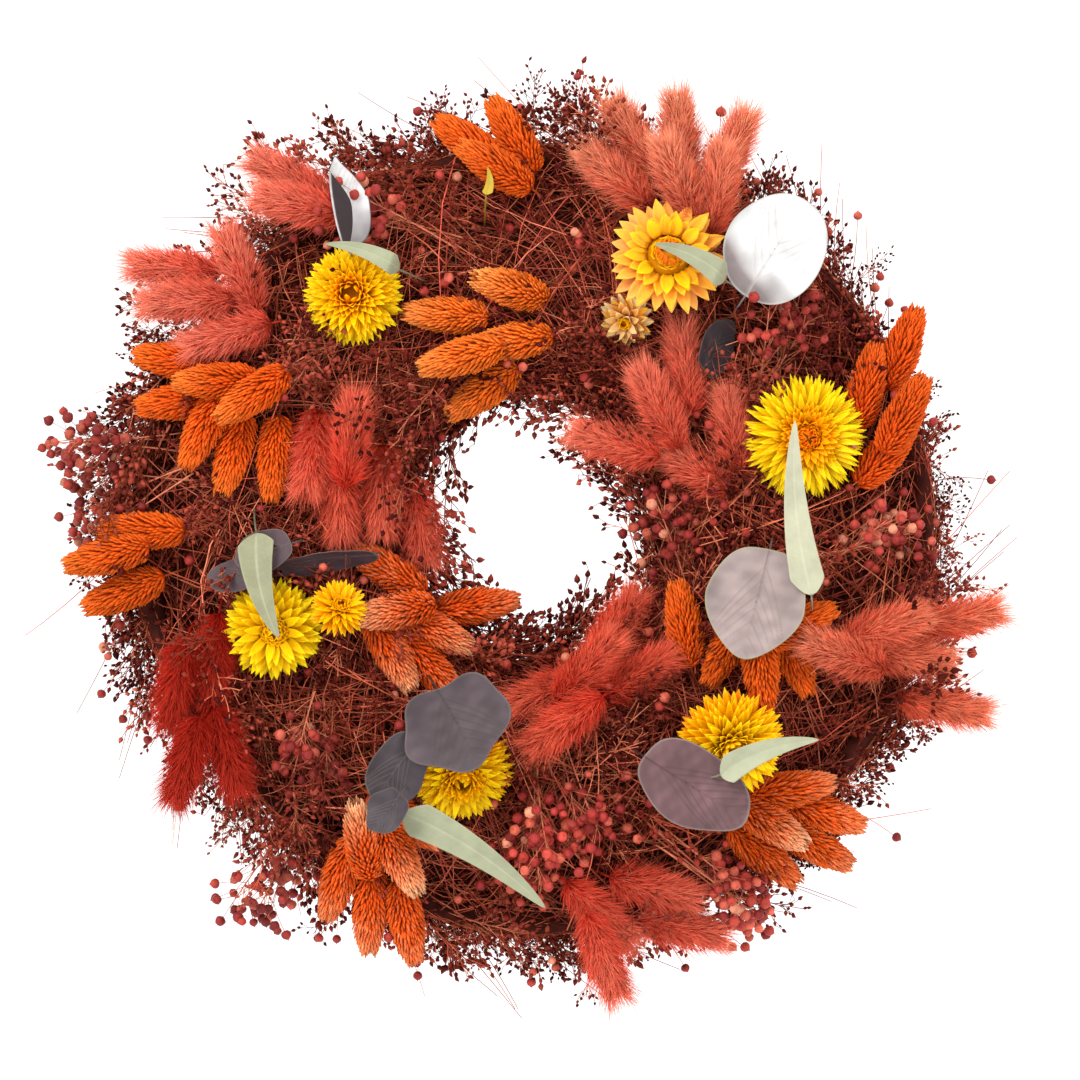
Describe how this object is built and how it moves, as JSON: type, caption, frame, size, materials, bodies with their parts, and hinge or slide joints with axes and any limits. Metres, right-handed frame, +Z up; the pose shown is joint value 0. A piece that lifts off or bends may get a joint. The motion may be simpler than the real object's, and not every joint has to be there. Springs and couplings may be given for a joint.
{
  "type": "dried flower door wreath",
  "caption": "Round dried-flower harvest wreath bound on a double wire ring, with a hinged wire loop at the back to hang it on a door.",
  "frame": {"origin": "top of the hanging loop's inside, where a nail or hook bears, in the plane of the wire frame", "axes": "+Z up as the wreath hangs, -Y out of the wreath's front, +Y to the door, +X to the right seen from the front"},
  "size_m": [0.3758, 0.0963, 0.3638],
  "materials": {
    "frame_wire": "satin",
    "loop_wire": "satin",
    "binding_wire": "satin",
    "bound_stems": "matte",
    "broom_bloom": "matte",
    "bunny_tail": "matte",
    "canary_grass": "matte",
    "flax_capsules": "matte",
    "strawflower": "satin",
    "round_leaf": "satin",
    "sickle_leaf": "satin"
  },
  "bodies": {
    "wreath": {"binding_wire": "binding_wire", "bound_stems": "bound_stems", "broom_bundle_bottom": "broom_bloom", "broom_bundle_left": "broom_bloom", "broom_bundle_lower_left": "broom_bloom", "broom_bundle_lower_right": "broom_bloom", "broom_bundle_right": "broom_bloom", "broom_bundle_top": "broom_bloom", "broom_bundle_upper_left": "broom_bloom", "broom_bundle_upper_right": "broom_bloom", "bunny_tails_bottom": "bunny_tail", "bunny_tails_bottom_inner": "bunny_tail", "bunny_tails_left_inner": "bunny_tail", "bunny_tails_lower_left": "bunny_tail", "bunny_tails_right": "bunny_tail", "bunny_tails_top_right": "bunny_tail", "bunny_tails_upper_left": "bunny_tail", "bunny_tails_upper_right_inner": "bunny_tail", "canary_grass_bottom_left": "canary_grass", "canary_grass_bottom_right": "canary_grass", "canary_grass_left": "canary_grass", "canary_grass_lower_left_inner": "canary_grass", "canary_grass_right": "canary_grass", "canary_grass_right_inner": "canary_grass", "canary_grass_top": "canary_grass", "canary_grass_upper_left": "canary_grass", "canary_grass_upper_middle": "canary_grass", "cross_struts": "frame_wire", "flax_bottom": "flax_capsules", "flax_left": "flax_capsules", "flax_right": "flax_capsules", "flax_top": "flax_capsules", "inner_ring": "frame_wire", "outer_ring": "frame_wire", "round_leaf_left_edge_on": "round_leaf", "round_leaf_lower_left": "round_leaf", "round_leaf_lower_right": "round_leaf", "round_leaf_right": "round_leaf", "round_leaf_upper_left": "round_leaf", "round_leaf_upper_right": "round_leaf", "round_leaf_upper_right_slate": "round_leaf", "round_leaves_left_small": "round_leaf", "round_leaves_lower_left_slate": "round_leaf", "sickle_leaf_bottom": "sickle_leaf", "sickle_leaf_left": "sickle_leaf", "sickle_leaf_lower_right": "sickle_leaf", "sickle_leaf_right": "sickle_leaf", "sickle_leaf_top_tip": "sickle_leaf", "sickle_leaf_upper_left": "sickle_leaf", "sickle_leaf_upper_right": "sickle_leaf", "strawflower_bottom": "strawflower", "strawflower_left": "strawflower", "strawflower_lower_left_small": "strawflower", "strawflower_lower_right": "strawflower", "strawflower_right": "strawflower", "strawflower_upper_left": "strawflower", "strawflower_upper_right": "strawflower", "strawflower_upper_right_bud": "strawflower"},
    "hanger": {"hanging_loop": "loop_wire"}
  },
  "joints": [
    {"name": "hanger_fold", "type": "hinge", "parent": "wreath", "child": "hanger", "pos_m": [0, 0, -0.0331], "axis": [-1, 0, 0], "range_deg": [0, 165]}
  ]
}
